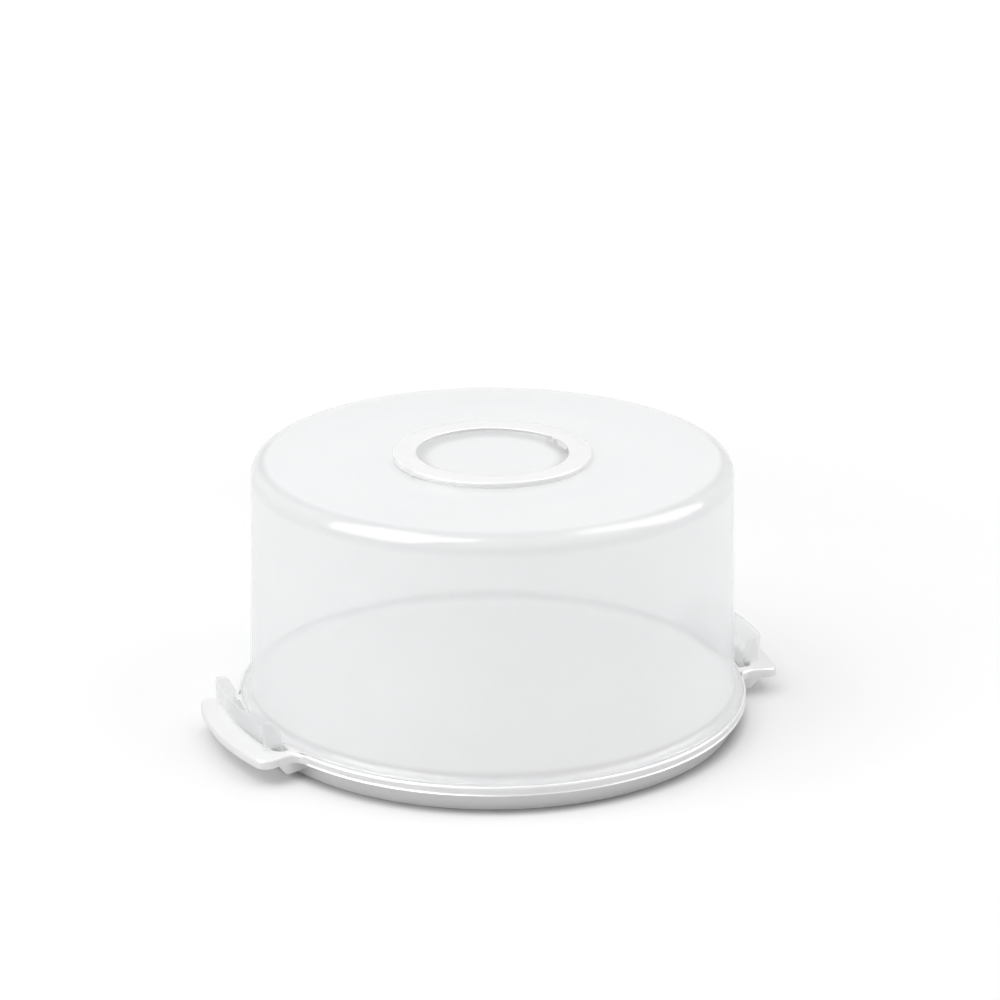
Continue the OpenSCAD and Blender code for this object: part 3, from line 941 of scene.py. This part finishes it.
@dataclass
class RingHandle:
    """White ring handle: two half rings on moulded pins, held by two blocks that complete the ring. Millimetres."""

    outer: float = 60.0
    inner: float = 46.0
    top: float = 167.7
    low: float = 164.4
    plate: float = 1.9
    axis_y: float = 9.2
    axis_z: float = 166.1
    knuckle: float = 1.6
    nose_r: float = 2.41
    cheek_in: float = 46.25
    cheek_out: float = 56.55
    base_z: float = 162.6
    gap: float = 0.07
    notch: float = 0.55
    plate_face_r: float = 2.8
    block_face_r: float = 2.72
    out_x: float = 58.4

    def section(self) -> np.ndarray:
        """Closed section of a half ring: a thin plate with a rounded inner edge and a deeper lip outside."""
        under, out, inner, top, low = self.top - self.plate, self.outer, self.inner, self.top, self.low
        return np.array([
            [inner + 1.6, under], [out - 2.6, under], [out - 2.4, under - 0.2], [out - 2.4, low], [out - 0.5, low],
            [out - 0.12, low + 0.15], [out, low + 0.5], [out, top - 0.7], [out - 0.15, top - 0.3],
            [out - 0.4, top - 0.08], [out - 0.8, top], [out - 3.0, top], [inner + 3.0, top], [inner + 0.7, top],
            [inner + 0.25, top - 0.1], [inner, top - 0.4], [inner + 0.05, top - 0.7], [inner + 0.6, top - 1.3]])

    def end_y(self, z: np.ndarray, radius: float) -> np.ndarray:
        """Distance of a joint face from the X axis: axis_y + sqrt(radius^2 - (z - axis_z)^2), upright below a pin."""
        dz = np.clip(z - self.axis_z, 0.0, radius)
        return self.axis_y + np.sqrt(radius**2 - dz**2)

    def half_ring_grid(self) -> np.ndarray:
        """Front half ring: the section at angles from one joint face to the other, with notches at both edges."""
        section = self.section()
        r, z = section[:, 0], section[:, 1]
        edge = smoothstep(r, self.outer - 0.6, self.outer) + 1 - smoothstep(r, self.inner + 0.1, self.inner + 0.6)
        face_y = self.end_y(z, self.plate_face_r)
        start = np.arcsin((face_y + self.notch * edge) / r)
        plain = np.arcsin(face_y / r) + 0.012
        t = np.linspace(0.0, 1.0, 181)[:, None]
        a = plain[None, :] + t * (math.pi - 2 * plain[None, :])
        a = np.concatenate([start[None, :], a, (math.pi - start)[None, :]])
        return np.stack([r * np.cos(a), -r * np.sin(a), z + 0 * a], axis=-1) * MM

    def neck_grid(self) -> np.ndarray:
        """Neck and knuckle at the right end of the front half ring, with the outline (y, z) swept along X.

        Returns:
            Grid of the skin. The knuckle's flat top ends on a nose of radius nose_r about the pin, which is long enough
            that the plate's top clears the block's edge at the end of the fold.
        """
        k, ay, az = self.knuckle, self.axis_y, self.axis_z
        nose = arc(-ay, az, self.nose_r, 41.6, 36, 3)
        under = arc(-ay, az, k + 0.05, 12, -90, 10)
        root = [[-ay - 2.9, az - k], [-ay - 3.3, az], [-ay - 2.9, az + 0.9]]
        outline = np.concatenate([[[-ay - 2.32, az + k]], nose, under, root])
        x = np.array([self.cheek_in + self.gap, self.cheek_in + 0.25, self.cheek_out - 0.25, self.cheek_out - self.gap])
        inset = np.array([0.12, 0.0, 0.0, 0.12])[:, None]
        middle = outline.mean(axis=0)
        ring = outline[None, :, :] + (middle - outline)[None, :, :] * inset[:, :, None] * 0.25
        return swept(x, ring) * MM

    def pin_grid(self) -> np.ndarray:
        """Pin through the knuckle, with domed ends."""
        x = np.array([44.65, 44.75, 44.9, 58.0, 58.15, 58.25])[:, None]
        r = np.array([0.0, 0.6, 0.93, 0.93, 0.6, 0.0])[:, None]
        a = np.radians(np.linspace(0, 360, 33)[:-1])[None, :]
        return np.stack([x + 0 * a, -self.axis_y + r * np.cos(a), self.axis_z + r * np.sin(a)], axis=-1) * MM

    def cheek(self, z: list[float], off: list[float], edge_r: float, sign: float, face: float) -> np.ndarray:
        """One cheek of the right block. Its faces beside the half rings are cylinders round the pins.

        Args:
            z: Heights of the section's points.
            off: How far each point lies from the ring's edge, or FLAT_END on the flat face beside the knuckle.
            edge_r: Radius of the ring's edge.
            sign: 1 if the points lie outside that edge, -1 if inside.
            face: X of the flat face.

        Returns:
            Grid over y and the section, with a notch at both ends of the outermost points.
        """
        height, reach = np.array(z), np.array(off)[None, :]
        t = np.linspace(-1.0, 1.0, 33)[:, None]
        face_y = self.end_y(height, self.block_face_r)[None, :]
        y = t * face_y
        y = y * (1 - (self.notch / face_y) * (reach < 0.1) * (np.abs(t) > 0.99))
        x = np.where(reach < FLAT_END, np.sqrt(edge_r**2 - y**2) + sign * reach, face)
        return np.stack([x, y, height[None, :] + 0 * t], axis=-1)

    def block_grids(self) -> list[np.ndarray]:
        """Grids of the right hinge block's closed skins: both cheeks, the bridge, the base and two rivets."""
        top, low, base = self.top, self.low, self.base_z
        z = [base, 165.4, top - 1.3, top - 0.7, top - 0.4, top - 0.1, top, top, base]
        off = [0.9, 0.9, 0.6, 0.05, 0.0, 0.25, 0.7, FLAT_END, FLAT_END]
        inner = self.cheek(z, off, self.inner, 1.0, self.cheek_in)
        inner[..., 0] = np.minimum(inner[..., 0], self.cheek_in)
        z = [base, 164.4, low, low + 0.15, low + 0.5, top - 0.7, top - 0.3, top - 0.08, top, top, base]
        off = [1.7, 1.7, 0.5, 0.12, 0.0, 0.0, 0.15, 0.4, 0.8, FLAT_END, FLAT_END]
        outer = self.cheek(z, off, self.outer, -1.0, self.cheek_out)
        outer[:, :2, 0] = self.out_x
        clear_r = self.nose_r + self.gap
        a = np.linspace(math.asin((top - self.axis_z) / clear_r), 0.0, 12)
        half = np.stack([self.axis_y - clear_r * np.cos(a), self.axis_z + clear_r * np.sin(a)], axis=-1)
        half = np.concatenate([[[0.0, top]], half, [[self.axis_y - clear_r, base], [0.0, base]]])
        outline = np.concatenate([half, (half * [-1, 1])[::-1][1:-1]])
        bridge = swept(np.array([self.cheek_in - 0.1, self.cheek_out + 0.1]), outline)
        foot = [[-10.95, 163.7], [-10.95, 162.75], [-10.8, 162.6], [10.8, 162.6], [10.95, 162.75], [10.95, 163.7]]
        grids = [inner, outer[:, ::-1], bridge[:, ::-1], swept(np.array([46.6, 58.35]), np.array(foot))]
        a = np.radians(np.linspace(0, 360, 33)[:-1])[None, :]
        r = np.array([0.0, 2.6, 3.2, 3.6, 3.55, 2.4, 2.4, 0.0])[:, None]
        height = np.array([159.7, 159.7, 159.95, 160.6, 160.78, 160.8, 162.9, 162.9])[:, None]
        for y in (-4.2, 4.2):
            grids.append(np.stack([BLOCK_X + r * np.cos(a), y + r * np.sin(a), height + 0 * a], axis=-1))
        return [grid * MM for grid in grids]

    def build(self, finish: bpy.types.Material) -> None:
        """Makes both half rings and both blocks."""
        mirrored = np.array([-1.0, 1.0, 1.0])
        neck, pin = capped_flat(self.neck_grid()), self.pin_grid()
        half = capped_flat(self.half_ring_grid())
        parts = {
            "plate": half, "neck_right": neck, "neck_left": neck * mirrored,
            "pin_right": pin, "pin_left": pin * mirrored,
        }
        for node, body, rear in (("front_half_ring", Body.FRONT_RING, False), ("rear_half_ring", Body.REAR_RING, True)):
            for name, points in parts.items():
                nodes = (node,) if name == "plate" else ()
                add_piece(f"{node}_{name}", half_turn(points) if rear else points, finish, body, Slot.RING, *nodes)
        names = ("cheek_inner", "cheek_outer", "bridge", "base", "rivet_front", "rivet_rear")
        for node, left in (("right_hinge_block", False), ("left_hinge_block", True)):
            for name, points in zip(names, self.block_grids()):
                points = capped_flat(half_turn(points) if left else points)
                nodes = (node,) if name == "bridge" else ()
                add_piece(f"{node}_{name}", points, finish, Body.DOME, Slot.RING, *nodes)


# Studio


@dataclass(frozen=True)
class Softbox:
    """Rectangular lamp that looks at the dome's middle. A card shows only in reflections."""

    name: str
    azimuth: float
    elevation: float
    width: float
    height: float
    power: float
    card: bool = False

    def build(self) -> None:
        """Adds the lamp to the scene."""
        data = bpy.data.lights.new(self.name, "AREA")
        data.shape = "RECTANGLE"
        data.size, data.size_y = self.width, self.height
        data.energy = self.power
        lamp = bpy.data.objects.new(self.name, data)
        bpy.context.scene.collection.objects.link(lamp)
        a, e = math.radians(self.azimuth), math.radians(self.elevation)
        away = Vector((math.sin(a) * math.cos(e), -math.cos(a) * math.cos(e), math.sin(e)))
        turn = (-away).to_track_quat("-Z", "Y").to_matrix().to_4x4()
        lamp.matrix_world = Matrix.Translation(LAMP_TARGET + away * LAMP_DISTANCE) @ turn
        lamp.visible_diffuse = not self.card


LAMPS = (
    Softbox("softbox_top", 175.0, 66.0, 2.0, 1.5, 7.0),
    Softbox("softbox_left", -85.0, 52.0, 1.2, 1.1, 10.3),
    Softbox("softbox_right", 60.0, 50.0, 0.95, 0.95, 6.5),
    Softbox("card_left", -82.0, 42.0, 1.4, 2.0, 150.0, card=True),
    Softbox("card_right", 72.0, 40.0, 1.0, 1.9, 75.0, card=True),
)


def grey(value: float) -> tuple[float, ...]:
    """Opaque grey."""
    return rgba((value, value, value))


def build_world() -> None:
    """White air that lights the scene at about half strength and looks pure white to the camera."""
    world = bpy.data.worlds.new("studio_air")
    graph = ShaderGraph(world)
    lit = graph.add("ShaderNodeBackground", None, {"Color": grey(1.0), "Strength": 0.55})
    seen = graph.add("ShaderNodeBackground", None, {"Color": grey(1.0), "Strength": 1.0})
    graph.finish(graph.blend(graph.add("ShaderNodeLightPath", output="Is Camera Ray"), lit, seen))
    bpy.context.scene.world = world


def build_floor() -> None:
    """Matt floor with a painted contact shadow right under the carrier, that fades to white with distance for the
    camera only.
    """
    graph = ShaderGraph(bpy.data.materials.new("studio_floor"))
    away = graph.length(graph.add("ShaderNodeTexCoord", output="Object"))
    # Painted contact shadow: colour and camera glow are darker out to 149 mm from the middle and full at 160 mm.
    painted_shadow_fade = graph.ramp(away, 0.149, 0.16)
    far = graph.ramp(away, 0.35, 1.6)
    matt = graph.add("ShaderNodeBsdfDiffuse", None, {"Color": graph.mix(painted_shadow_fade, grey(0.42), grey(0.84))})
    camera_ray = graph.add("ShaderNodeLightPath", output="Is Camera Ray")
    haze = graph.mix(far, graph.mix(painted_shadow_fade, grey(0.0), grey(0.07)), grey(0.65))
    glow = graph.add("ShaderNodeEmission", None, {"Color": haze, "Strength": camera_ray})
    finish = graph.finish(graph.add("ShaderNodeAddShader", None, {0: matt, 1: glow}))
    span = np.linspace(-3.0, 3.0, 5)
    gx, gy = np.meshgrid(span, span, indexing="ij")
    grid_mesh("studio_floor", np.stack([gx, gy, 0 * gx], axis=-1), finish)


def build_camera() -> None:
    """Camera of the photo, from the fit of its outlines."""
    data = bpy.data.cameras.new("camera")
    data.sensor_width = SENSOR
    data.lens = FOCAL_PX / PHOTO_PX * SENSOR
    data.shift_x = 0.0075
    data.clip_start, data.clip_end = 0.05, 30.0
    camera = bpy.data.objects.new("camera", data)
    scene = bpy.context.scene
    scene.collection.objects.link(camera)
    pitch, yaw = math.radians(CAMERA_PITCH), math.radians(CAMERA_YAW)
    look = Vector((math.sin(yaw) * math.cos(pitch), math.cos(yaw) * math.cos(pitch), -math.sin(pitch)))
    camera.matrix_world = Matrix.Translation(CAMERA_PLACE) @ look.to_track_quat("-Z", "Y").to_matrix().to_4x4()
    scene.camera = camera


def main() -> None:
    """Builds the carrier in order, from the tray up."""
    logging.basicConfig(level=logging.INFO)
    tray_finish = SatinPlastic("tray_white", (0.86, 0.86, 0.86), 0.34).build()
    ring_finish = SatinPlastic("ring_white", (0.85, 0.85, 0.85), 0.3).build()
    frosted = FrostedPlastic("dome_frosted", FROST, 0.4, 0.12).build()
    # Painted shade on the hood: a darker band low on the wall by the flange, one under the ring's inner edge, and two
    # along the shoulder's upper and lower edges.
    painted_shade_bands = (
        (PaintedShadeBand.HEIGHT, 20.5, 4.5, 0.4),
        (PaintedShadeBand.RADIUS, 43.5, 7.5, 0.55),
        (PaintedShadeBand.RADIUS, 139.0, 4.0, 0.35),
        (PaintedShadeBand.HEIGHT, 156.0, 5.0, 0.15),
    )
    hood_finish = FrostedPlastic("hood_frosted", FROST, 0.4, 0.06, painted_shade_bands=painted_shade_bands).build()
    Tray().build(tray_finish)
    Dome().build(hood_finish)
    LiftingTab().build(frosted)
    RingHandle().build(ring_finish)
    bpy.context.scene.view_settings.view_transform = "Standard"
    build_world()
    build_floor()
    for lamp in LAMPS:
        lamp.build()
    build_camera()


if __name__ == "__main__":
    main()
